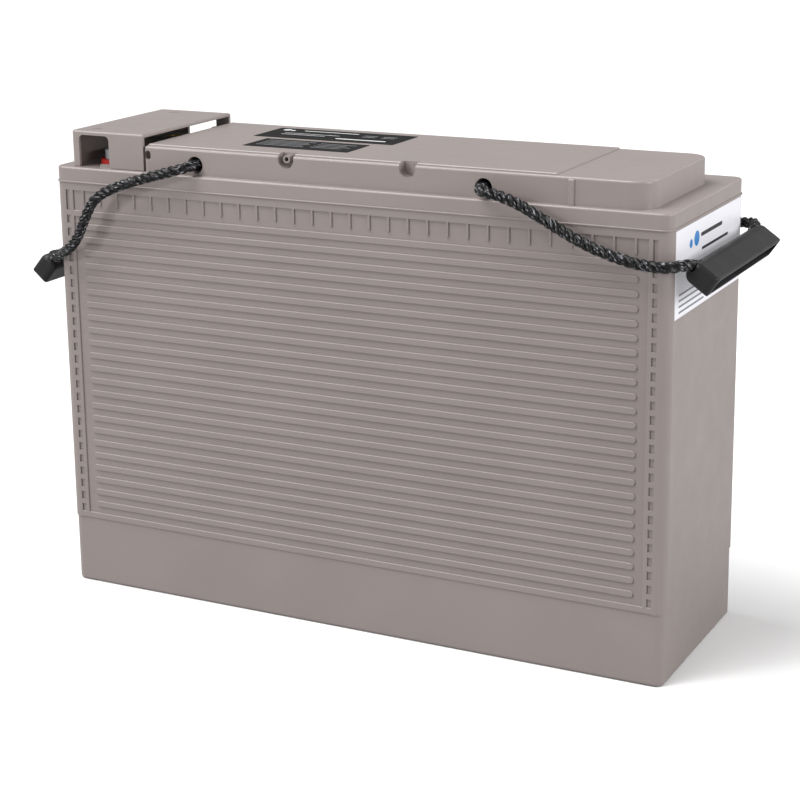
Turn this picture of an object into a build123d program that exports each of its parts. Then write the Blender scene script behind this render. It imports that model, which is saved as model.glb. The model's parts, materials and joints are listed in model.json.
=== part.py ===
"""Front-terminal AGM deep cycle battery, built as an assembly of separate pieces.

Millimetres, +Z up. The origin is the centre of the container's underside, +X runs along the
length away from the terminals, and +Y runs towards the back.
"""
from build123d import *
import math
import os

# ---- case: driving dimensions --------------------------------------------------------------
LENGTH = 395.0
DEPTH = 125.0
SEAM_Z = 258.0              # top of the container, where the lid is welded on
CORNER_R = 6.0
SIDE_WALL = 3.5
END_WALL = 4.0
FLOOR = 4.0
CELLS = 6
PARTITION = 2.0

# ---- relief moulded into the two long sides ------------------------------------------------
FOOT_TOP = 43.0             # plain zone below the ribs
FOOT_INSET = 0.6
FOOT_EDGE_R = 2.0
RELIEF = 0.9                # depth of the field between the ribs
ROOT = 0.5                  # how far a rib's root runs into the wall behind it
FIELD_HALF = 190.1          # half length of the sunk field
FIELD_TOP = 253.4
RIB_PITCH = 8.09
RIB_HEIGHT = 3.9
RIB_GAPS = 24
RIB_HALF = 179.4            # half length of a round-ended rib
RIB_EDGE_R = 0.45
POST_IN, POST_OUT = 184.8, 187.4        # upright rib beside each corner
LADDER_BAR = 3.2            # height of the bars between the small pockets
BAND_RIB_WIDTH = 1.3
BAND_RIB_PITCH = 12.25
BAND_RIBS_PER_HALF = 15
BAND_RIB_FOOT = 244.8

# ---- lid -----------------------------------------------------------------------------------
SKIRT_TOP = 267.5           # top of the skirt and the terminal deck
LID_PLATE = 3.0
BLOCK_TOP = 283.0
BLOCK_X0, BLOCK_X1 = -134.0, 184.0
BLOCK_Y0, BLOCK_Y1 = -58.5, 41.0
BLOCK_MID_Y = (BLOCK_Y0 + BLOCK_Y1) / 2
BLOCK_END_R = 12.0
BLOCK_WALL = 3.8
PLATE_TOP = 284.0           # vent cover
PLATE_SEAT = 281.5
PLATE_X0, PLATE_X1 = -132.4, 130.0
PLATE_Y0, PLATE_Y1 = BLOCK_Y0 + 2.2, BLOCK_Y1 - 2.2
CHAMBER_X0, CHAMBER_X1 = -130.8, 127.0
CHAMBER_Y0, CHAMBER_Y1 = BLOCK_Y0 + BLOCK_WALL, BLOCK_Y1 - BLOCK_WALL
RECESS_WIDTH = 10.3
RECESS_FLOOR = 275.6
RECESS_DEPTH = 7.0
NOZZLE_X, EMPTY_RECESS_X = -37.0, 41.0
NOZZLE_Z = 280.9
NOZZLE_R, NOZZLE_BORE_R, NOZZLE_ROOT_R = 2.3, 1.3, 1.9
VALVE_X = (-121.5, -80.0, -32.4, 32.4, 71.5, 117.5)
VALVE_R = 8.5
CHIMNEY_R, PORT_R = 6.5, 4.0
CHIMNEY_TOP = 274.0
WEB_HEIGHT = 3.0            # low rib that joins the valve seats

# ---- rope handles --------------------------------------------------------------------------
ROPE_R = 3.3
TUNNEL_R = 4.8
TUNNEL_TUBE_R = 7.0
TUNNEL_Z = 273.6
ROPE_OUT = 68.3             # distance of the rope from the middle plane beside the case
GRIP_HALF = 58.5
GRIP_DEPTH = 17.0           # in the direction of the rope's pull
GRIP_THICK = 12.4
GRIP_WALL = 2.4
ROPE_IN_GRIP = -1.6         # the rope's offset along the pull, inside the channel

# One entry for each handle. The outer points are one side's rope, from the lid to the grip;
# the inner ones are (pull, across, y) in the grip's own directions, and end in its channel.
HANDLES = {
    "right": {
        "hinge_x": 87.6,
        "grip": (211.7, 233.7),
        "tilt": 35.0,
        "outer": [
            (107.0, 69.0, 271.0),
            (129.0, 70.0, 260.5),
            (153.0, 70.6, 248.6),
            (177.0, 69.8, 241.5),
            (196.0, 68.0, 239.5),
        ],
        "inner": [
            (-9.5, -2.6, 62.0),
            (-7.6, -2.0, 54.0),
            (-4.6, -0.8, 44.0),
            (ROPE_IN_GRIP - 0.1, -0.1, 34.0),
            (ROPE_IN_GRIP, 0.0, 18.0),
            (ROPE_IN_GRIP, 0.0, 3.0),
        ],
    },
    "left": {
        "hinge_x": -98.6,
        "grip": (-213.2, 201.6),
        "tilt": 130.5,
        "outer": [
            (-117.0, 69.5, 268.6),
            (-140.0, 71.5, 262.0),
            (-161.0, 73.6, 253.0),
            (-169.0, 74.2, 238.0),
            (-177.0, 72.6, 223.5),
            (-190.0, 68.6, 214.5),
        ],
        "inner": [
            (-12.6, 0.5, 61.0),
            (-9.0, 0.6, 51.5),
            (-5.0, 0.2, 43.0),
            (ROPE_IN_GRIP - 0.1, -0.1, 36.0),
            (ROPE_IN_GRIP, 0.0, 19.0),
            (ROPE_IN_GRIP, 0.0, 3.0),
        ],
    },
}

# ---- terminals and their cover -------------------------------------------------------------
TERMINAL_X = -161.0
TERMINAL_Y = {"positive": BLOCK_MID_Y - 25.0, "negative": BLOCK_MID_Y + 25.0}
POST_R = 8.0
SEAL_R, SEAL_HEIGHT = 18.0, 3.5
HEAD_SIZE = 24.0
HEAD_TOP = 277.0
INSERT_R = 6.5
M8_CORE_R = 3.4
INSERT_FOOT = 263.0
THREAD_FOOT = 264.0
COVER_X0, COVER_X1 = -187.0, -135.0
COVER_FOOT = SKIRT_TOP + 0.3
COVER_TOP = 289.5
COVER_WALL = 2.0
OPENING_TOP = 287.0
NEAR_OPENING = (-181.3, -159.6)
FAR_OPENING = (-166.0, -144.5)
TONGUE_Z = (274.2, 280.6)
TONGUE_THICK = 1.4
TONGUE_TIP_X = -127.0
SNAP_HOLE_X, SNAP_HOLE_Z = -131.6, 277.6

# ---- cells ---------------------------------------------------------------------------------
NEGATIVE_PLATES, NEGATIVE_THICK = 7, 2.8
POSITIVE_PLATES, POSITIVE_THICK = 6, 3.6
MAT_THICK = 1.65
PLATE_HALF_WIDTH = 56.0
MAT_HALF_WIDTH = 57.5
PLATE_FOOT, PLATE_HEAD = 6.0, 234.0
MAT_FOOT, MAT_HEAD = 4.5, 237.0
STRAP_FOOT, STRAP_TOP = 240.0, 249.0
STRAP_Y = 30.0
STRAP_HALF = 12.0
LUG_HALF = 7.0
WELD_R = 4.4
BAR_Z = (259.0, 263.0)
BAR_Y = (-42.0, -30.0)

# ---- labels --------------------------------------------------------------------------------
LABEL_THICK = 0.25
SIDE_LABEL_HALF = 56.2
SIDE_LABEL_Z = (209.0, 257.2)
TOP_LABELS = {
    "top_label_main": (-90.0, 4.5, -5.0, 29.0),
    "top_label_small": (-77.0, -7.0, -39.5, -11.5),
}

CELL_WIDTH = (LENGTH - 2 * END_WALL - (CELLS - 1) * PARTITION) / CELLS
STACK = (
    NEGATIVE_PLATES * NEGATIVE_THICK
    + POSITIVE_PLATES * POSITIVE_THICK
    + (NEGATIVE_PLATES + POSITIVE_PLATES - 1) * MAT_THICK
)


# ---- helpers -------------------------------------------------------------------------------
def block(x0, x1, y0, y1, z0, z1):
    """A box from its lowest to its highest corner."""
    centre = Pos((x0 + x1) / 2, (y0 + y1) / 2, (z0 + z1) / 2)
    return centre * Box(x1 - x0, y1 - y0, z1 - z0)


def upright(x, y, z0, z1, radius):
    """A cylinder along Z."""
    return Pos(x, y, (z0 + z1) / 2) * Cylinder(radius, z1 - z0)


def across(x, z, y0, y1, radius):
    """A cylinder along Y."""
    return Pos(x, (y0 + y1) / 2, z) * Rot(90, 0, 0) * Cylinder(radius, y1 - y0)


def lengthwise(y, z, x0, x1, radius):
    """A cylinder along X."""
    return Pos((x0 + x1) / 2, y, z) * Rot(0, 90, 0) * Cylinder(radius, x1 - x0)


def case_prism(z0, z1, grow=0.0):
    """The case's plan with its rounded corners, grown outwards and raised from z0 to z1."""
    plan = RectangleRounded(LENGTH + 2 * grow, DEPTH + 2 * grow, CORNER_R + grow)
    return extrude(Pos(0, 0, z0) * plan, z1 - z0)


def cell_x(cell):
    """Middle of a cell along the length, counted from 1 at the terminal end."""
    return (cell - (CELLS + 1) / 2) * (CELL_WIDTH + PARTITION)


def cell_spaces(z0, z1):
    """The six spaces between the partitions."""
    half = CELL_WIDTH / 2
    inner = DEPTH / 2 - SIDE_WALL
    xs = [cell_x(cell) for cell in range(1, CELLS + 1)]
    return [block(x - half, x + half, -inner, inner, z0, z1) for x in xs]


def strap_side(cell):
    """Side of a cell's positive strap: the cells are turned end for end along the row."""
    return -1 if cell % 2 else 1


def outer_edges(rib):
    """Edges round the face that a rib on the front shows."""
    return rib.faces().sort_by(Axis.Y)[0].edges()


# ---- container -----------------------------------------------------------------------------
def rib_top(index):
    """Top edge of a rib: 0 is the highest."""
    return FOOT_TOP + RIB_HEIGHT + (RIB_GAPS - index) * RIB_PITCH


def raised_bar(x0, x1, z0, z1, edge_r):
    """A square-ended bar standing out of the sunk field on the front."""
    bar = block(x0, x1, -DEPTH / 2, -DEPTH / 2 + RELIEF + ROOT, z0, z1)
    return fillet(outer_edges(bar), edge_r)


def round_ended_rib(z_middle):
    """A long rib with half-round ends."""
    plan = Plane.XZ * Pos(0, z_middle) * SlotOverall(2 * RIB_HALF, RIB_HEIGHT)
    rib = Pos(0, -DEPTH / 2 + RELIEF + ROOT, 0) * extrude(plan, RELIEF + ROOT)
    return fillet(outer_edges(rib), RIB_EDGE_R)


def front_relief():
    """Everything that stands out of the front's sunk field."""
    half = RIB_HEIGHT / 2
    ribs = [round_ended_rib(rib_top(i) - half) for i in range(1, RIB_GAPS)]
    top, bottom = rib_top(0), rib_top(RIB_GAPS)
    ribs.append(raised_bar(-POST_IN - 1, POST_IN + 1, top - RIB_HEIGHT, top, RIB_EDGE_R))
    ribs.append(raised_bar(-FIELD_HALF - 1, FIELD_HALF + 1, FOOT_TOP, bottom, RIB_EDGE_R))
    for side in (-1, 1):
        post = sorted((side * POST_IN, side * POST_OUT))
        ribs.append(raised_bar(*post, FOOT_TOP + 1, FIELD_TOP + 1, RIB_EDGE_R))
        ladder = sorted((side * (POST_OUT - 1), side * (FIELD_HALF + 1)))
        for index in range(RIB_GAPS):
            z = rib_top(index)
            ribs.append(block(*ladder, -DEPTH / 2, -DEPTH / 2 + RELIEF + ROOT, z - LADDER_BAR, z))
        for index in range(BAND_RIBS_PER_HALF):
            x = side * (index + 0.5) * BAND_RIB_PITCH
            width = BAND_RIB_WIDTH / 2
            ribs.append(raised_bar(x - width, x + width, BAND_RIB_FOOT, FIELD_TOP + 1, 0.3))
    return ribs


def container():
    """The case: walls, floor, five partitions and the ribbed sides."""
    foot = case_prism(0, FOOT_TOP, -FOOT_INSET)
    foot = fillet(foot.faces().sort_by(Axis.Z)[0].edges(), FOOT_EDGE_R)
    case = foot + case_prism(FOOT_TOP, SEAM_Z)
    case -= cell_spaces(FLOOR, SEAM_Z)
    outside = DEPTH / 2
    for side in (-1, 1):
        field = sorted((side * outside, side * (outside - RELIEF)))
        case -= block(-FIELD_HALF, FIELD_HALF, *field, FOOT_TOP, FIELD_TOP)
    relief = front_relief()
    case += relief
    case += [mirror(rib, about=Plane.XZ) for rib in relief]
    for cell in range(1, CELLS):
        x, y = cell_x(cell) + (CELL_WIDTH + PARTITION) / 2, -strap_side(cell) * STRAP_Y
        case -= lengthwise(y, (STRAP_FOOT + STRAP_TOP) / 2, x - 2, x + 2, WELD_R)
    return case


# ---- lid -----------------------------------------------------------------------------------
def block_plan():
    """The raised block's plan: nearly square at the terminals, well rounded at the far end."""
    plan = Rectangle(BLOCK_X1 - BLOCK_X0, BLOCK_Y1 - BLOCK_Y0)
    plan = Pos((BLOCK_X0 + BLOCK_X1) / 2, BLOCK_MID_Y) * plan
    plan = fillet(plan.vertices().sort_by(Axis.X)[-2:], BLOCK_END_R)
    return fillet(plan.vertices().sort_by(Axis.X)[:2], 1.5)


def recess(x):
    """A round-bottomed notch in the block's front edge, open at the top."""
    radius = RECESS_WIDTH / 2
    back = BLOCK_Y0 + RECESS_DEPTH
    middle = RECESS_FLOOR + radius
    notch = across(x, middle, BLOCK_Y0 - 1, back, radius)
    return notch + block(x - radius, x + radius, BLOCK_Y0 - 1, back, middle, PLATE_TOP + 1)


def duct(valve_x, cell_side):
    """Boss and channel that carry an end cell's gas over its partition to its valve."""
    wall_x = cell_side * (CELL_WIDTH + PARTITION) * 2
    far = wall_x + cell_side * 8.0
    near = valve_x - cell_side * 5.5
    y0, y1 = BLOCK_MID_Y - 5.0, BLOCK_MID_Y + 5.0
    plate = SKIRT_TOP - LID_PLATE
    boss = block(*sorted((near, far)), y0, y1, SEAM_Z, plate + 1)
    run = sorted((valve_x - cell_side * PORT_R, far - cell_side * 1.5))
    mouth = sorted((wall_x + cell_side * 1.5, far - cell_side * 1.5))
    channel = block(*run, y0 + 2, y1 - 2, SEAM_Z + 2, plate)
    channel += block(*mouth, y0 + 2, y1 - 2, SEAM_Z - 1, SEAM_Z + 2.5)
    return boss, channel


def terminal_tongues(clearance, x0):
    """The cover's two snap tongues, or with clearance the slots for them, from x0 to the tips."""
    half = TONGUE_THICK / 2 + clearance
    middle = (CHAMBER_Y0 + 0.9, CHAMBER_Y1 - 0.9)
    z0, z1 = TONGUE_Z[0] - clearance, TONGUE_Z[1] + clearance
    return [block(x0, TONGUE_TIP_X + clearance, y - half, y + half, z0, z1) for y in middle]


def lid():
    """The lid's skirt and deck, and its raised block with rope tunnels, valve seats and recesses."""
    skirt = case_prism(SEAM_Z, SKIRT_TOP)
    skirt = fillet(skirt.faces().sort_by(Axis.Z)[-1].edges(), 1.2)
    bead = case_prism(SEAM_Z, SEAM_Z + 0.9, 0.7)
    bead = fillet(bead.faces().filter_by(Axis.Z).edges(), 0.3)
    body = skirt + bead
    body -= cell_spaces(SEAM_Z, SKIRT_TOP - LID_PLATE)

    raised = extrude(Pos(0, 0, SKIRT_TOP - 1) * block_plan(), BLOCK_TOP - SKIRT_TOP + 1)
    raised = fillet(raised.faces().sort_by(Axis.Z)[-1].edges(), 1.5)
    body += raised
    body -= block(CHAMBER_X0, CHAMBER_X1, CHAMBER_Y0, CHAMBER_Y1, SKIRT_TOP, BLOCK_TOP + 1)
    body -= block(PLATE_X0, PLATE_X1, PLATE_Y0, PLATE_Y1, PLATE_SEAT, BLOCK_TOP + 1)
    body -= block(PLATE_X1 + 3, BLOCK_X1 - 6, CHAMBER_Y0 + 3, CHAMBER_Y1 - 3, SEAM_Z, BLOCK_TOP - 3)

    pilaster = block(137.6, 141.1, BLOCK_Y0 - 1.0, BLOCK_Y0 + 1, SKIRT_TOP - 0.5, BLOCK_TOP - 1.2)
    body += fillet(outer_edges(pilaster), 0.8)

    for x in (NOZZLE_X, EMPTY_RECESS_X):
        body += block(x - 7.2, x + 7.2, CHAMBER_Y0 - 1, -49.5, SKIRT_TOP - 1, PLATE_SEAT)
        body -= recess(x)
    body -= across(NOZZLE_X, NOZZLE_Z, BLOCK_Y0 + RECESS_DEPTH - 0.5, -49, NOZZLE_ROOT_R)

    web = (BLOCK_MID_Y - 1.5, BLOCK_MID_Y + 1.5, SKIRT_TOP - 1, SKIRT_TOP + WEB_HEIGHT)
    body += block(CHAMBER_X0 - 1, CHAMBER_X1 + 1, *web)
    for handle in HANDLES.values():
        body += across(handle["hinge_x"], TUNNEL_Z, BLOCK_Y0, BLOCK_Y1, TUNNEL_TUBE_R)
        body -= across(handle["hinge_x"], TUNNEL_Z, BLOCK_Y0, BLOCK_Y1, TUNNEL_R)
        for y in (BLOCK_Y0, BLOCK_Y1):
            flare = Pos(handle["hinge_x"], y, TUNNEL_Z) * Rot(90, 0, 0)
            mouth = (TUNNEL_R, TUNNEL_R + 0.8) if y < 0 else (TUNNEL_R + 0.8, TUNNEL_R)
            body -= flare * Cone(*mouth, 1.6)

    for x, cell_side in ((VALVE_X[0], -1), (VALVE_X[-1], 1)):
        boss, channel = duct(x, cell_side)
        body += boss
        body -= channel
    for x in VALVE_X:
        body += upright(x, BLOCK_MID_Y, SKIRT_TOP - 1, CHIMNEY_TOP, CHIMNEY_R)
        body -= upright(x, BLOCK_MID_Y, SKIRT_TOP - LID_PLATE - 0.5, CHIMNEY_TOP, PORT_R)

    for y in TERMINAL_Y.values():
        body -= upright(TERMINAL_X, y, SEAM_Z, SKIRT_TOP, POST_R)
    body -= terminal_tongues(0.2, BLOCK_X0 - 1)
    snap = Plane.XZ * Pos(SNAP_HOLE_X, SNAP_HOLE_Z) * Rot(0, 0, 90) * SlotOverall(5.4, 4.0)
    body -= Pos(0, CHAMBER_Y0 + 0.1, 0) * extrude(snap, BLOCK_WALL + 1)
    body -= return_bar()
    reach = (-LENGTH, LENGTH, -DEPTH, DEPTH)
    deck = body & block(*reach, SEAM_Z - 5, SKIRT_TOP)
    for y in (BLOCK_Y0 + 2.4, BLOCK_Y1 - 4.2):
        deck += block(-168, -137, y, y + 1.8, SKIRT_TOP - 1, SKIRT_TOP + 1.8)
    return deck, body & block(*reach, SKIRT_TOP, PLATE_TOP + 5)


def vent_cover():
    """The plate let into the block's top over the gas chamber."""
    plate = block(PLATE_X0, PLATE_X1, PLATE_Y0, PLATE_Y1, PLATE_SEAT, PLATE_TOP)
    plate = chamfer(plate.faces().sort_by(Axis.Z)[-1].edges(), 0.5)
    plate += upright(NOZZLE_X, -35, PLATE_SEAT - 4, PLATE_SEAT + 1, 12)
    plate -= upright(NOZZLE_X, -35, PLATE_SEAT - 4, PLATE_SEAT - 0.5, 10)
    for x in (NOZZLE_X, EMPTY_RECESS_X):
        plate -= recess(x)
    return plate - across(NOZZLE_X, NOZZLE_Z, BLOCK_Y0 + RECESS_DEPTH - 0.5, -49, NOZZLE_ROOT_R)


def vent_nozzle():
    """Spigot for a gas hose, standing in the front recess."""
    back = BLOCK_Y0 + RECESS_DEPTH
    spigot = across(NOZZLE_X, NOZZLE_Z, BLOCK_Y0 + 1.2, back, NOZZLE_R)
    spigot += across(NOZZLE_X, NOZZLE_Z, back - 1, -49, NOZZLE_ROOT_R)
    return spigot - across(NOZZLE_X, NOZZLE_Z, BLOCK_Y0 + 1.2, -49, NOZZLE_BORE_R)


def flame_arrestor():
    """Porous disc held in the ring under the vent cover."""
    return upright(NOZZLE_X, -35, PLATE_SEAT - 3.5, PLATE_SEAT - 0.5, 10)


def vent_valve(x):
    """Rubber cap over a valve seat."""
    foot = SKIRT_TOP + WEB_HEIGHT + 0.2
    cap = upright(x, BLOCK_MID_Y, foot, CHIMNEY_TOP + 1.6, VALVE_R)
    return cap - upright(x, BLOCK_MID_Y, foot, CHIMNEY_TOP + 0.1, CHIMNEY_R + 0.05)


# ---- terminals and their cover -------------------------------------------------------------
def terminal(polarity, foot):
    """Lead post through the lid, with a square head bored for its threaded bush."""
    y = TERMINAL_Y[polarity]
    half = HEAD_SIZE / 2
    seal_top = SKIRT_TOP + SEAL_HEIGHT
    head = block(TERMINAL_X - half, TERMINAL_X + half, y - half, y + half, seal_top, HEAD_TOP)
    head = fillet(head.edges().filter_by(Axis.Z), 3.0)
    head = chamfer(head.faces().sort_by(Axis.Z)[-1].edges(), 0.6)
    post = upright(TERMINAL_X, y, foot, seal_top, POST_R) + head
    return post - upright(TERMINAL_X, y, INSERT_FOOT, HEAD_TOP, INSERT_R)


def terminal_insert(polarity):
    """Brass bush with the M8 thread, modelled at its core size."""
    y = TERMINAL_Y[polarity]
    bush = upright(TERMINAL_X, y, INSERT_FOOT, HEAD_TOP, INSERT_R)
    return bush - upright(TERMINAL_X, y, THREAD_FOOT, HEAD_TOP, M8_CORE_R)


def terminal_seal(polarity):
    """Coloured sealing ring round a post, on the deck."""
    y = TERMINAL_Y[polarity]
    ring = upright(TERMINAL_X, y, SKIRT_TOP, SKIRT_TOP + SEAL_HEIGHT, SEAL_R)
    ring = fillet(ring.faces().sort_by(Axis.Z)[-1].edges(), 0.8)
    return ring - upright(TERMINAL_X, y, SKIRT_TOP, SKIRT_TOP + SEAL_HEIGHT, POST_R)


def terminal_cover():
    """Box over the terminals: a cable opening at each end, and open towards the block."""
    shell = block(COVER_X0, COVER_X1, BLOCK_Y0, BLOCK_Y1, COVER_FOOT, COVER_TOP)
    shell = fillet(shell.edges().filter_by(Axis.Z).sort_by(Axis.X)[:2], 3.0)
    shell = fillet(shell.faces().sort_by(Axis.Z)[-1].edges(), 1.2)
    x0, y0, y1 = COVER_X0 + COVER_WALL, BLOCK_Y0 + COVER_WALL, BLOCK_Y1 - COVER_WALL
    shell -= block(x0, COVER_X1 + 1, y0, y1, COVER_FOOT, COVER_TOP - COVER_WALL)
    for (left, right), y in ((NEAR_OPENING, BLOCK_Y0), (FAR_OPENING, BLOCK_Y1)):
        hole = block(left, right, y - 4, y + 4, COVER_FOOT - 5, OPENING_TOP)
        hole = fillet(hole.edges().filter_by(Axis.Y).sort_by(Axis.Z)[-2:], 3.0)
        shell -= hole
    for x, y in ((-174.0, -49.0), (-169.0, 29.0)):
        shell -= upright(x, y, COVER_TOP - 0.3, COVER_TOP, 3.4)
    z0, z1 = TONGUE_Z
    root = (COVER_X1 - 11, COVER_X1)
    shell += block(*root, BLOCK_Y0 + 1, CHAMBER_Y0 + 0.9 + TONGUE_THICK / 2, z0, z1)
    shell += block(*root, CHAMBER_Y1 - 0.9 - TONGUE_THICK / 2, BLOCK_Y1 - 1, z0, z1)
    return shell + terminal_tongues(0.0, COVER_X1 - 5)


# ---- cells ---------------------------------------------------------------------------------
def plate_starts(cell):
    """Left face of each plate in a cell's stack, split into negative and positive plates."""
    x = cell_x(cell) - STACK / 2
    starts = {"negative": [], "positive": [], "mat": []}
    for index in range(NEGATIVE_PLATES + POSITIVE_PLATES):
        kind = "positive" if index % 2 else "negative"
        starts[kind].append(x)
        x += POSITIVE_THICK if index % 2 else NEGATIVE_THICK
        starts["mat"].append(x)
        x += MAT_THICK
    starts["mat"].pop()
    return starts


def plate_group(cell, kind):
    """One cell's plates of one polarity, joined by their lugs and a cast strap."""
    thick = POSITIVE_THICK if kind == "positive" else NEGATIVE_THICK
    side = strap_side(cell) if kind == "positive" else -strap_side(cell)
    y = side * STRAP_Y
    half = STACK / 2
    x = cell_x(cell)
    group = block(x - half, x + half, y - STRAP_HALF, y + STRAP_HALF, STRAP_FOOT, STRAP_TOP)
    for start in plate_starts(cell)[kind]:
        end = start + thick
        group += block(start, end, -PLATE_HALF_WIDTH, PLATE_HALF_WIDTH, PLATE_FOOT, PLATE_HEAD)
        group += block(start, end, y - LUG_HALF, y + LUG_HALF, PLATE_HEAD, STRAP_FOOT)
    return group


def separators(cell):
    """The glass mats between one cell's plates."""
    wide = MAT_HALF_WIDTH
    starts = plate_starts(cell)["mat"]
    return Compound([block(x, x + MAT_THICK, -wide, wide, MAT_FOOT, MAT_HEAD) for x in starts])


def intercell_connector(cell):
    """Weld through the partition, from a cell's negative strap to the next one's positive."""
    left = cell_x(cell) + STACK / 2
    right = cell_x(cell + 1) - STACK / 2
    y = -strap_side(cell) * STRAP_Y
    return lengthwise(y, (STRAP_FOOT + STRAP_TOP) / 2, left, right, WELD_R)


def return_bar():
    """Bar under the lid, from the last cell's negative strap to the negative post."""
    y = TERMINAL_Y["negative"]
    bar = block(-150, 168, *BAR_Y, *BAR_Z)
    bar += block(-150, -138.5, BAR_Y[0], y + POST_R, *BAR_Z)
    bar += block(TERMINAL_X - POST_R, -138.5, y - POST_R, y + POST_R, *BAR_Z)
    return bar + block(156, 168, *BAR_Y, STRAP_TOP, BAR_Z[1])


# ---- rope handles --------------------------------------------------------------------------
def in_grip(handle, pull, sideways, y):
    """A point given in a grip's own directions, as a point of the assembly."""
    x, z = handle["grip"]
    tilt = math.radians(handle["tilt"])
    turn = -1 if handle["hinge_x"] > 0 else 1
    return (
        x + pull * math.cos(tilt) + turn * sideways * math.sin(tilt),
        y,
        z - pull * math.sin(tilt) + turn * sideways * math.cos(tilt),
    )


def rope_route(handle):
    """The rope's corners: from its front end in the grip, through the lid, to its back end."""
    half = [in_grip(handle, *point) for point in reversed(handle["inner"])]
    half += reversed(handle["outer"])
    half.append((handle["hinge_x"], ROPE_OUT, TUNNEL_Z))
    front = [(x, -y, z) for x, y, z in half]
    return front + half[::-1]


def corner_radii(route):
    """The largest arc that each corner's two runs allow."""
    radii = []
    for before, here, after in zip(route, route[1:], route[2:]):
        run_in, run_out = Vector(here) - Vector(before), Vector(after) - Vector(here)
        half_turn = math.radians(run_in.get_angle(run_out)) / 2
        radii.append(0.45 * min(run_in.length, run_out.length) / math.tan(half_turn))
    return radii


def rope_tube(handle, radius):
    """A tube along the whole rope."""
    route = rope_route(handle)
    path = FilletPolyline(*route, radius=corner_radii(route))
    section = Plane(path @ 0, z_dir=path % 0) * Circle(radius)
    return sweep(section, path), path.length


def grip(handle):
    """Hard channel that the rope runs through: closed towards the case, open outwards."""
    half_deep, half_thick = GRIP_DEPTH / 2, GRIP_THICK / 2
    bar = Box(GRIP_DEPTH, 2 * GRIP_HALF, GRIP_THICK)
    bar = fillet(bar.edges().filter_by(Axis.Y).sort_by(Axis.X)[:2], 5.4)
    bar = fillet(bar.edges().filter_by(Axis.Y).sort_by(Axis.X)[-2:], 1.0)
    bar = fillet(bar.faces().filter_by(Axis.Y).edges(), 3.4)
    inside = half_thick - 1.9
    channel = block(
        GRIP_WALL - half_deep, half_deep + 1, -GRIP_HALF + 4, GRIP_HALF - 4, -inside, inside
    )
    channel = fillet(channel.edges().filter_by(Axis.X), 3.0)
    x, z = handle["grip"]
    placed = Pos(x, 0, z) * Rot(0, handle["tilt"], 0) * (bar - channel)
    return placed - rope_tube(handle, ROPE_R + 0.4)[0]


def splice(handle):
    """Band round the rope's two ends where they meet inside the grip."""
    x, _, z = in_grip(handle, ROPE_IN_GRIP, 0.0, 0.0)
    band = across(x, z, -8, 8, ROPE_R + 0.3)
    band -= across(x, z, -8, -3, ROPE_R + 0.01)
    return band - across(x, z, 3, 8, ROPE_R + 0.01)


# ---- labels --------------------------------------------------------------------------------
def side_label():
    """Paper label on the plain end."""
    face = LENGTH / 2
    return block(face, face + LABEL_THICK, -SIDE_LABEL_HALF, SIDE_LABEL_HALF, *SIDE_LABEL_Z)


def top_label(name):
    """Film label on the vent cover."""
    return block(*TOP_LABELS[name], PLATE_TOP, PLATE_TOP + LABEL_THICK)


def all_parts():
    """Every piece, by the name of its node."""
    deck, raised_block = lid()
    parts = {
        "container": container(),
        "lid": deck,
        "lid_block": raised_block,
        "vent_cover": vent_cover(),
        "vent_nozzle": vent_nozzle(),
        "flame_arrestor": flame_arrestor(),
        "terminal_cover": terminal_cover(),
        "return_bar": return_bar(),
        "side_label": side_label(),
    }
    for index, x in enumerate(VALVE_X, 1):
        parts[f"vent_valve_{index}"] = vent_valve(x)
    for polarity, foot in (("positive", STRAP_TOP), ("negative", BAR_Z[1])):
        parts[f"{polarity}_terminal"] = terminal(polarity, foot)
        parts[f"{polarity}_insert"] = terminal_insert(polarity)
        parts[f"{polarity}_seal"] = terminal_seal(polarity)
    for cell in range(1, CELLS + 1):
        parts[f"cell_{cell}_positive_plates"] = plate_group(cell, "positive")
        parts[f"cell_{cell}_negative_plates"] = plate_group(cell, "negative")
        parts[f"cell_{cell}_separators"] = separators(cell)
    for cell in range(1, CELLS):
        parts[f"intercell_connector_{cell}"] = intercell_connector(cell)
    for name in TOP_LABELS:
        parts[name] = top_label(name)
    for side, handle in HANDLES.items():
        rope, length = rope_tube(handle, ROPE_R)
        parts[f"{side}_rope"] = rope
        parts[f"{side}_grip"] = grip(handle)
        parts[f"{side}_splice"] = splice(handle)
        radii = [round(r, 1) for r in corner_radii(rope_route(handle))]
        ratio = rope.volume / (math.pi * ROPE_R**2 * length)
        print(f"{side} rope: length {length:.1f}, volume ratio {ratio:.4f}, radii {radii}")
    return parts


os.makedirs("parts", exist_ok=True)
for node, shape in all_parts().items():
    export_step(shape, f"parts/{node}.step")
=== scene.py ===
"""Looks of a front-terminal deep cycle battery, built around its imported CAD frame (metres, +Z up)."""

import json
import math

import bmesh
import bpy
from mathutils import Matrix, Vector


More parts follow.
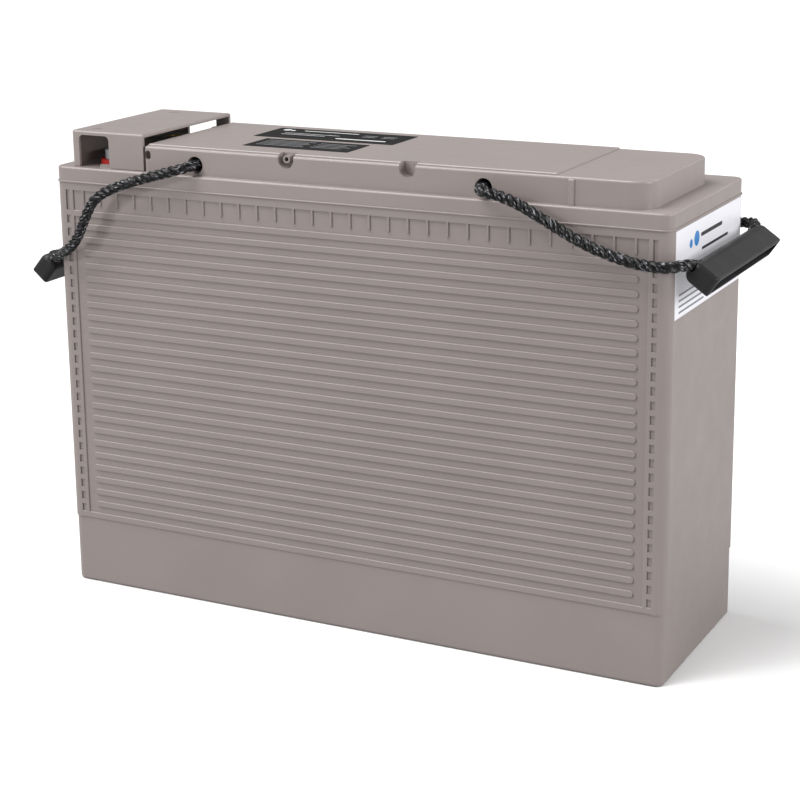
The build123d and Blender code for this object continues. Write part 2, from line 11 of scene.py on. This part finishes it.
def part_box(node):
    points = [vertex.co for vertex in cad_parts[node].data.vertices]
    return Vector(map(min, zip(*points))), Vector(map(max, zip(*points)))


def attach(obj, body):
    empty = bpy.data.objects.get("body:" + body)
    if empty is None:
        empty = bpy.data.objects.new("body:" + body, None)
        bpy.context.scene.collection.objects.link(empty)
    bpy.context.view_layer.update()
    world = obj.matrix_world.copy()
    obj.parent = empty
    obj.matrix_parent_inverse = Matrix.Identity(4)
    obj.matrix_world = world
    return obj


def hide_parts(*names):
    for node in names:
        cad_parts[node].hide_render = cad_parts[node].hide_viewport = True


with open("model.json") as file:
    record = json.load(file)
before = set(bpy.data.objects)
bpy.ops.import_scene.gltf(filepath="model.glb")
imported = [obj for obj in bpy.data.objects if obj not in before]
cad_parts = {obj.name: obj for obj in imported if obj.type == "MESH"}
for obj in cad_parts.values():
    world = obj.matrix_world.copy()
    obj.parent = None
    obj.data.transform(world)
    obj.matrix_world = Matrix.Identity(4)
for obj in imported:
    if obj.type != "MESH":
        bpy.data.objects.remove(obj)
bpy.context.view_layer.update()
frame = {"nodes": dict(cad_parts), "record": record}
nodes = frame["nodes"]
MM = 0.001

# ---- rope detail, in metres -----------------------------------------------------------------
ROPE_STEP = 0.0009          # between two rings of a strand's mesh
STRAND_SIDES = 24
YARN_DEPTH = 0.0002
RIDGES_PER_METRE = 420.0    # yarn ridges crossed in going a metre straight along a strand
UV_PER_METRE = 40.0

# ---- print on the labels, in mm -------------------------------------------------------------
INK_ABOVE, INK_BELOW = 0.06, 0.05
DISC_SIDES = 40

# ---- shared measures, in millimetres as in the CAD ------------------------------------------
ROPE_R = 3.3
TUNNEL_Z = 273.6
ROPE_OUT = 68.3
ROPE_LAY = 14.6             # length of one full turn of a strand
STRAND_R = 0.50             # of the rope's radius
YARNS = 6                   # ridges round one strand
TUNNEL_RUN = 14.0           # from the rope's way out to its next control point in the tunnel

HANDLES = {
    "right": {
        "hinge_x": 87.6,
        "grip": (211.7, 233.7),
        "tilt": 35.0,
        "outer": [
            (107.0, 69.0, 271.0),
            (129.0, 70.0, 260.5),
            (153.0, 70.6, 248.6),
            (177.0, 69.8, 241.5),
            (196.0, 68.0, 239.5),
        ],
        "inner": [
            (-9.5, -2.6, 62.0),
            (-7.6, -2.0, 54.0),
            (-4.6, -0.8, 44.0),
            (-1.7, -0.1, 34.0),
            (-1.6, 0.0, 18.0),
            (-1.6, 0.0, 3.0),
        ],
    },
    "left": {
        "hinge_x": -98.6,
        "grip": (-213.2, 201.6),
        "tilt": 130.5,
        "outer": [
            (-117.0, 69.5, 268.6),
            (-140.0, 71.5, 262.0),
            (-161.0, 73.6, 253.0),
            (-169.0, 74.2, 238.0),
            (-177.0, 72.6, 223.5),
            (-190.0, 68.6, 214.5),
        ],
        "inner": [
            (-12.6, 0.5, 61.0),
            (-9.0, 0.6, 51.5),
            (-5.0, 0.2, 43.0),
            (-1.7, -0.1, 36.0),
            (-1.6, 0.0, 19.0),
            (-1.6, 0.0, 3.0),
        ],
    },
}


# ---- materials ------------------------------------------------------------------------------
NOISE_LOW, NOISE_HIGH = 0.3, 0.7        # most of a noise's values lie between these


class Shader:
    """A node material with a Principled surface and short calls to add nodes to it."""

    def __init__(self, name, color, roughness, metallic=0.0):
        self.mat = bpy.data.materials.new(name)
        self.mat.use_nodes = True
        self.tree = self.mat.node_tree
        self.bsdf = self.tree.nodes["Principled BSDF"]
        self.bsdf.inputs["Base Color"].default_value = (*color, 1.0)
        self.bsdf.inputs["Roughness"].default_value = roughness
        self.bsdf.inputs["Metallic"].default_value = metallic
        self.mat.diffuse_color = (*color, 1.0)
        self.coords = self.tree.nodes.new("ShaderNodeTexCoord")

    def link(self, out, socket):
        self.tree.links.new(out, socket)

    def noise(self, scale, detail=3.0, rough=0.5, stretch=(1.0, 1.0, 1.0), space="Object"):
        mapping = self.tree.nodes.new("ShaderNodeMapping")
        mapping.inputs["Scale"].default_value = stretch
        self.link(self.coords.outputs[space], mapping.inputs["Vector"])
        tex = self.tree.nodes.new("ShaderNodeTexNoise")
        tex.inputs["Scale"].default_value = scale
        tex.inputs["Detail"].default_value = detail
        tex.inputs["Roughness"].default_value = rough
        self.link(mapping.outputs["Vector"], tex.inputs["Vector"])
        return tex.outputs["Fac"]

    def spread(self, value, low, high):
        node = self.tree.nodes.new("ShaderNodeMapRange")
        node.inputs["From Min"].default_value = NOISE_LOW
        node.inputs["From Max"].default_value = NOISE_HIGH
        node.inputs["To Min"].default_value = low
        node.inputs["To Max"].default_value = high
        self.link(value, node.inputs["Value"])
        return node.outputs["Result"]

    def ramp(self, value, stops):
        node = self.tree.nodes.new("ShaderNodeValToRGB")
        ramp = node.color_ramp
        while len(ramp.elements) < len(stops):
            ramp.elements.new(0.5)
        for element, (position, color) in zip(ramp.elements, stops):
            element.position = position
            element.color = (*color, 1.0)
        self.link(value, node.inputs["Fac"])
        return node.outputs["Color"]

    def patches(self, value, color, dark, pale):
        """Base colour from a darker to a paler shade, as a noise goes from low to high."""
        tones = [(NOISE_LOW, shade(color, dark)), (NOISE_HIGH, shade(color, pale))]
        self.link(self.ramp(value, tones), self.bsdf.inputs["Base Color"])

    def bump(self, value, strength, distance):
        node = self.tree.nodes.new("ShaderNodeBump")
        node.inputs["Strength"].default_value = strength
        node.inputs["Distance"].default_value = distance
        self.link(value, node.inputs["Height"])
        normal = self.bsdf.inputs["Normal"]
        if normal.is_linked:
            self.link(normal.links[0].from_socket, node.inputs["Normal"])
        self.link(node.outputs["Normal"], normal)

    def set(self, **values):
        for key, value in values.items():
            self.bsdf.inputs[key.replace("_", " ")].default_value = value
        return self


def shade(color, factor):
    return tuple(min(1.0, c * factor) for c in color)


def moulded(name, color, roughness=0.36, grain=0.10, mottle=0.035):
    """Injection-moulded plastic: faint flow mottling, a fine grain and uneven gloss."""
    s = Shader(name, color, roughness)
    s.patches(s.noise(scale=14.0, detail=4.0, rough=0.55), color, dark=1 - mottle, pale=1 + mottle)
    gloss = s.noise(scale=45.0, detail=5.0, rough=0.6)
    s.link(s.spread(gloss, roughness - 0.05, roughness + 0.07), s.bsdf.inputs["Roughness"])
    s.bump(s.noise(scale=1700.0, detail=2.0), strength=grain, distance=0.00015)
    s.bump(s.noise(scale=60.0, detail=2.0, rough=0.4), strength=0.10, distance=0.0004)
    return s


def metal(name, color, roughness, scale=900.0, strength=0.2):
    """Cast or turned metal with a dull, slightly patchy skin."""
    s = Shader(name, color, roughness, metallic=1.0)
    s.patches(s.noise(scale=60.0, detail=5.0, rough=0.6), color, dark=0.8, pale=1.15)
    gloss = s.noise(scale=120.0)
    s.link(s.spread(gloss, roughness - 0.08, roughness + 0.12), s.bsdf.inputs["Roughness"])
    s.bump(s.noise(scale), strength, distance=0.0002)
    return s


def fibrous(name, color, roughness, scale, stretch):
    """Paste, glass mat and other short-fibred surfaces."""
    s = Shader(name, color, roughness)
    fibres = s.noise(scale, detail=6.0, rough=0.7, stretch=stretch)
    s.patches(fibres, color, dark=0.75, pale=1.12)
    s.bump(fibres, strength=0.5, distance=0.0004)
    return s


CASE = (0.268, 0.229, 0.218)
case_grey = moulded("case_grey", CASE, 0.37).mat
lid_grey = moulded("lid_grey", shade(CASE, 1.04), 0.33).mat
cover_grey = moulded("cover_grey", shade(CASE, 1.06), 0.33).mat
lead = metal("lead", (0.30, 0.31, 0.33), 0.50).mat
brass = metal("brass", (0.62, 0.46, 0.20), 0.32, 2500.0, 0.08).mat
seal_red = moulded("seal_red", (0.42, 0.015, 0.010), 0.55, 0.2).mat
seal_black = moulded("seal_black", (0.012, 0.012, 0.013), 0.55, 0.2).mat
rubber = moulded("rubber_black", (0.018, 0.018, 0.018), 0.60, 0.25).mat
grip_black = moulded("grip_black", (0.011, 0.011, 0.012), 0.42, 0.35, 0.30)
grip_black = grip_black.set(Specular_IOR_Level=0.3).mat
splice_black = moulded("splice_black", (0.009, 0.009, 0.010), 0.34, 0.1, 0.1).mat
arrestor_white = fibrous("arrestor_white", (0.78, 0.78, 0.75), 0.8, 1500.0, (1, 1, 1)).mat
plate_positive = fibrous("plate_positive", (0.10, 0.045, 0.026), 0.85, 300.0, (1, 1, 1)).mat
plate_negative = fibrous("plate_negative", (0.24, 0.25, 0.27), 0.7, 300.0, (1, 1, 1)).mat
glass_mat = fibrous("glass_mat", (0.80, 0.80, 0.78), 0.9, 400.0, (1, 6, 1)).mat
label_white = moulded("label_white", (0.82, 0.81, 0.86), 0.34, 0.03, 0.012).mat
label_black = moulded("label_black", (0.006, 0.006, 0.007), 0.55, 0.03, 0.1)
label_black = label_black.set(Specular_IOR_Level=0.15).mat
ink_black = moulded("ink_black", (0.02, 0.02, 0.024), 0.4, 0.03, 0.05).mat
ink_grey = moulded("ink_grey", (0.17, 0.18, 0.20), 0.4, 0.03, 0.03).mat
ink_blue = moulded("ink_blue", (0.03, 0.22, 0.55), 0.35, 0.03, 0.05).mat
ink_white = moulded("ink_white", (0.74, 0.74, 0.74), 0.35, 0.03, 0.02).mat
ink_silver = moulded("ink_silver", (0.34, 0.34, 0.35), 0.4, 0.03, 0.03).mat

BY_SLOT = {
    "case_grey": case_grey, "lid_grey": lid_grey, "cover_grey": cover_grey, "lead": lead,
    "brass": brass, "seal_red": seal_red, "seal_black": seal_black, "rubber_black": rubber,
    "grip_black": grip_black, "splice_black": splice_black, "arrestor_white": arrestor_white,
    "plate_positive": plate_positive, "plate_negative": plate_negative, "glass_mat": glass_mat,
    "label_white": label_white, "label_black": label_black,
}


def rope_yarn():
    """Shiny twisted filament: near black, with painted highlights: small pale spots in its base colour
    where a noise is high.
    """
    color = (0.010, 0.010, 0.011)
    s = Shader("rope_black", color, 0.42)
    s.set(Specular_IOR_Level=0.3)
    fibres = s.noise(scale=6.0, detail=2.0, rough=0.6, stretch=(1.7, 1.5, 1.0), space="UV")
    # painted highlights: the base colour turns pale where the fibre noise is high
    painted_glints = [(0.48, shade(color, 0.2)), (0.58, color), (0.66, shade(color, 30.0))]
    s.link(s.ramp(fibres, painted_glints), s.bsdf.inputs["Base Color"])
    s.link(s.spread(fibres, low=0.50, high=0.16), s.bsdf.inputs["Roughness"])
    s.bump(fibres, strength=0.9, distance=0.0005)
    return s.mat


for entry in frame["record"]["subparts"]:
    material = BY_SLOT.get(entry["material_slot"])
    if material:
        for slot in nodes[entry["node"]].material_slots:
            slot.material = material


# ---- ropes ----------------------------------------------------------------------------------
def in_grip(handle, pull, sideways, y):
    """A point given in a grip's own directions, as a point of the battery."""
    x, z = handle["grip"]
    tilt = math.radians(handle["tilt"])
    turn = -1 if handle["hinge_x"] > 0 else 1
    return (
        x + pull * math.cos(tilt) + turn * sideways * math.sin(tilt),
        y,
        z - pull * math.sin(tilt) + turn * sideways * math.cos(tilt),
    )


def rope_points(handle):
    """The rope's control points, from its front end in the grip to its back end."""
    half = [in_grip(handle, *point) for point in reversed(handle["inner"])]
    half += reversed(handle["outer"])
    half.append((handle["hinge_x"], ROPE_OUT, TUNNEL_Z))
    half.append((handle["hinge_x"], ROPE_OUT - TUNNEL_RUN, TUNNEL_Z))
    front = [(x, -y, z) for x, y, z in half]
    return [Vector(p) * MM for p in front + half[::-1]]


def smooth_line(points):
    """Points along the NURBS curve that has the given control points."""
    curve = bpy.data.curves.new("route", "CURVE")
    curve.dimensions = "3D"
    spline = curve.splines.new("NURBS")
    spline.points.add(len(points) - 1)
    for target, point in zip(spline.points, points):
        target.co = (*point, 1.0)
    spline.order_u = 3
    spline.use_endpoint_u = True
    spline.resolution_u = 24
    holder = bpy.data.objects.new("route", curve)
    bpy.context.scene.collection.objects.link(holder)
    mesh = bpy.data.meshes.new_from_object(holder)
    line = [v.co.copy() for v in mesh.vertices]
    bpy.data.objects.remove(holder)
    bpy.data.curves.remove(curve)
    bpy.data.meshes.remove(mesh)
    return line


def evenly(line, step):
    """The same line with its points a step apart."""
    gone = [0.0]
    for a, b in zip(line, line[1:]):
        gone.append(gone[-1] + (b - a).length)
    count = max(2, round(gone[-1] / step))
    out, j = [], 0
    for i in range(count + 1):
        want = gone[-1] * i / count
        while j < len(line) - 2 and gone[j + 1] < want:
            j += 1
        span = gone[j + 1] - gone[j]
        out.append(line[j].lerp(line[j + 1], (want - gone[j]) / span if span else 0.0))
    return out, gone[-1]


def carried_frames(line):
    """A direction across the line at each point, carried along without twisting."""
    tangents = []
    for i in range(len(line)):
        tangents.append((line[min(i + 1, len(line) - 1)] - line[max(i - 1, 0)]).normalized())
    side = tangents[0].orthogonal().normalized()
    sides = []
    for t in tangents:
        side = (side - t * side.dot(t)).normalized()
        sides.append(side)
    return tangents, sides


def add_strand(bm, uv_layer, line, radius, phase):
    """A closed tube with twisted yarn ridges, and UVs: u round it, v along it."""
    tangents, sides = carried_frames(line)
    rings, gone, total = [], [], 0.0
    for i, (p, t, side) in enumerate(zip(line, tangents, sides)):
        if i:
            total += (p - line[i - 1]).length
        gone.append(total)
        other = t.cross(side)
        ring = []
        for k in range(STRAND_SIDES):
            a = 2 * math.pi * k / STRAND_SIDES
            crown = abs(math.cos(YARNS / 2 * (a + phase) + math.pi * RIDGES_PER_METRE * total))
            r = radius + YARN_DEPTH * (crown - 1)
            ring.append(bm.verts.new(p + (side * math.cos(a) + other * math.sin(a)) * r))
        rings.append(ring)
    for i in range(len(rings) - 1):
        for k in range(STRAND_SIDES):
            n = (k + 1) % STRAND_SIDES
            face = bm.faces.new((rings[i][k], rings[i][n], rings[i + 1][n], rings[i + 1][k]))
            face.smooth = True
            corners = ((k, i), (k + 1, i), (k + 1, i + 1), (k, i + 1))
            for loop, (u, v) in zip(face.loops, corners):
                loop[uv_layer].uv = (u / STRAND_SIDES, gone[v] * UV_PER_METRE)
    bm.faces.new(rings[0][::-1])
    bm.faces.new(rings[-1])


def twisted_rope(name, points):
    """Three-strand laid rope, each strand laid up from yarns the other way."""
    line, length = evenly(smooth_line(points), ROPE_STEP)
    tangents, sides = carried_frames(line)
    radius = ROPE_R * MM
    strand = radius * STRAND_R
    bm = bmesh.new()
    uv_layer = bm.loops.layers.uv.new("UVMap")
    for k in range(3):
        centre = []
        for i, (p, t, side) in enumerate(zip(line, tangents, sides)):
            a = 2 * math.pi * (k / 3 + length * i / (len(line) - 1) / (ROPE_LAY * MM))
            across = side * math.cos(a) + t.cross(side) * math.sin(a)
            centre.append(p + across * (radius - strand))
        add_strand(bm, uv_layer, centre, strand, k)
    mesh = bpy.data.meshes.new(name)
    bm.to_mesh(mesh)
    bm.free()
    mesh.materials.append(yarn)
    rope = bpy.data.objects.new(name, mesh)
    bpy.context.scene.collection.objects.link(rope)
    return rope, line, length


yarn = rope_yarn()
for side, handle in HANDLES.items():
    rope, line, length = twisted_rope(f"{side}_rope_strands", rope_points(handle))
    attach(rope, f"{side}_handle")
    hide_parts(f"{side}_rope")


# ---- printed shapes on the labels -----------------------------------------------------------
def printed(name, material, outlines, place):
    """Flat ink shapes: outlines in a label's own plane, in mm, set just proud of it."""
    bm = bmesh.new()
    for outline in outlines:
        top = [bm.verts.new(place @ (Vector((u, v, INK_ABOVE)) * MM)) for u, v in outline]
        foot = [bm.verts.new(place @ (Vector((u, v, -INK_BELOW)) * MM)) for u, v in outline]
        bm.faces.new(top)
        bm.faces.new(foot[::-1])
        for i in range(len(outline)):
            j = (i + 1) % len(outline)
            bm.faces.new((foot[i], foot[j], top[j], top[i]))
    mesh = bpy.data.meshes.new(name)
    bm.to_mesh(mesh)
    bm.free()
    mesh.materials.append(material)
    piece = bpy.data.objects.new(name, mesh)
    bpy.context.scene.collection.objects.link(piece)
    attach(piece, "battery")


def bar(u0, u1, v, height):
    """A rounded bar standing for a line of print."""
    h = min(height, u1 - u0) / 2
    ends = [(u1 - h, -90.0), (u0 + h, 90.0)]
    return [
        (c + h * math.cos(math.radians(start + 30 * k)), v + h * math.sin(math.radians(start + 30 * k)))
        for c, start in ends for k in range(7)
    ]


def disc(u, v, radius):
    """A round mark."""
    angles = [2 * math.pi * k / DISC_SIDES for k in range(DISC_SIDES)]
    return [(u + radius * math.cos(a), v + radius * math.sin(a)) for a in angles]


side_place = Matrix.Translation((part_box("side_label")[1][0], 0, 0)) @ Matrix(
    ((0, 0, 1, 0), (1, 0, 0, 0), (0, 1, 0, 0), (0, 0, 0, 1)))
printed("side_label_mark", ink_blue, [disc(-22.0, 247.5, 4.2), disc(-31.5, 246.3, 2.4)], side_place)
printed("side_label_lines", ink_black,
        [bar(-15.0, 22.0, 248.2, 2.2), bar(-13.0, 33.0, 240.2, 1.6), bar(-22.0, 36.0, 233.2, 1.6)],
        side_place)
printed("side_label_small_lines", ink_grey,
        [bar(-50.0, -8.0, 221.5 - 3.2 * k, 1.1) for k in range(4)]
        + [bar(-3.0, 38.0 - 5.0 * (k % 2), 221.5 - 3.2 * k, 1.1) for k in range(4)],
        side_place)

top_place = Matrix.Translation((0, 0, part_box("top_label_main")[1][2]))
printed("top_label_marks", ink_white, [disc(-82.0, 22.5, 2.6), disc(-77.5, 21.5, 1.5)], top_place)
printed("top_label_lines", ink_white,
        [bar(-70.0, -32.0, 22.5, 1.5), bar(-38.0, -4.0, 3.0, 2.4)]
        + [bar(-78.0, -40.0 - 8.0 * k, 12.0 - 4.4 * k, 0.7) for k in range(2)],
        top_place)
printed("top_label_faint_lines", ink_silver,
        [bar(-26.0 + 13.0 * k, -17.0 + 13.0 * k, 16.5 + 4.0 * (j - 0.5), 0.8)
         for k in range(2) for j in range(2)],
        top_place)
printed("top_label_small_lines", ink_silver,
        [bar(-72.0, -40.0 - 3.0 * (k % 2), -16.5 - 4.0 * k, 0.6) for k in range(5)]
        + [bar(-36.0, -12.0 - 4.0 * (k % 2), -18.0 - 4.4 * k, 0.6) for k in range(4)],
        top_place)


# ---- stage, light and camera ----------------------------------------------------------------
FLOOR_RADIUS = 30.0
FLOOR_SEEN, FLOOR_BOUNCE = 0.88, 0.42   # its grey as the camera sees it, and as it lights the object


def floor():
    """Pale floor: white as seen, with a weaker bounce onto the object."""
    s = Shader("floor", (FLOOR_SEEN,) * 3, 0.75)
    s.set(Specular_IOR_Level=0.1)
    ray = s.tree.nodes.new("ShaderNodeLightPath")
    greys = [(0.0, (FLOOR_BOUNCE,) * 3), (1.0, (FLOOR_SEEN,) * 3)]
    s.link(s.ramp(ray.outputs["Is Camera Ray"], greys), s.bsdf.inputs["Base Color"])
    bm = bmesh.new()
    bmesh.ops.create_circle(bm, cap_ends=True, radius=FLOOR_RADIUS, segments=96)
    mesh = bpy.data.meshes.new("studio_floor")
    bm.to_mesh(mesh)
    bm.free()
    mesh.materials.append(s.mat)
    plane = bpy.data.objects.new("studio_floor", mesh)
    bpy.context.scene.collection.objects.link(plane)


def softbox(name, place, aim, size, watts):
    """A rectangular lamp turned towards a point."""
    lamp = bpy.data.lights.new(name, "AREA")
    lamp.shape = "RECTANGLE"
    lamp.size, lamp.size_y = size
    lamp.energy = watts
    holder = bpy.data.objects.new(name, lamp)
    holder.location = place
    holder.rotation_euler = (Vector(aim) - Vector(place)).to_track_quat("-Z", "Y").to_euler()
    bpy.context.scene.collection.objects.link(holder)


def studio_world(seen, lighting):
    """White surroundings: as bright as seen behind the object, and dimmer as a light."""
    world = bpy.data.worlds.new("studio")
    world.use_nodes = True
    tree = world.node_tree
    background = tree.nodes["Background"]
    background.inputs["Color"].default_value = (1.0, 1.0, 1.0, 1.0)
    ray = tree.nodes.new("ShaderNodeLightPath")
    strength = tree.nodes.new("ShaderNodeMapRange")
    strength.inputs["To Min"].default_value = lighting
    strength.inputs["To Max"].default_value = seen
    tree.links.new(ray.outputs["Is Camera Ray"], strength.inputs["Value"])
    tree.links.new(strength.outputs["Result"], background.inputs["Strength"])
    bpy.context.scene.world = world


def overhead(name, towards, strength, softness):
    """Even light from above, the same over the whole floor, from the side that is given."""
    lamp = bpy.data.lights.new(name, "SUN")
    lamp.energy = strength
    lamp.angle = math.radians(softness)
    holder = bpy.data.objects.new(name, lamp)
    holder.location = Vector(towards) * 2.0
    holder.rotation_euler = Vector(towards).to_track_quat("Z", "Y").to_euler()
    bpy.context.scene.collection.objects.link(holder)


floor()
overhead("top_light", towards=(-0.40, -0.26, 0.88), strength=3.3, softness=44.0)
softbox("key_light", place=(-0.80, -1.20, 0.72), aim=(-0.05, 0, 0.18), size=(0.30, 0.30), watts=7.5)
softbox("end_light", place=(1.9, -0.15, 0.75), aim=(0.15, 0, 0.15), size=(0.9, 0.8), watts=23.0)
softbox("back_fill", place=(1.3, 1.7, 1.1), aim=(0, 0, 0.15), size=(0.9, 0.9), watts=8.0)
studio_world(seen=1.0, lighting=0.36)
bpy.context.scene.view_settings.view_transform = "Standard"

lens = bpy.data.cameras.new("camera")
lens.sensor_width = 36.0
lens.lens = 88.36
lens.shift_y = -0.1
camera = bpy.data.objects.new("camera", lens)
camera.matrix_world = (
    Matrix.Translation((0.5268, -1.0222, 0.4644))
    @ Matrix.Rotation(math.radians(27.013), 4, "Z")
    @ Matrix.Rotation(math.radians(90 - 14.057), 4, "X")
    @ Matrix.Rotation(math.radians(-0.697), 4, "Z")
)
bpy.context.scene.collection.objects.link(camera)
bpy.context.scene.camera = camera
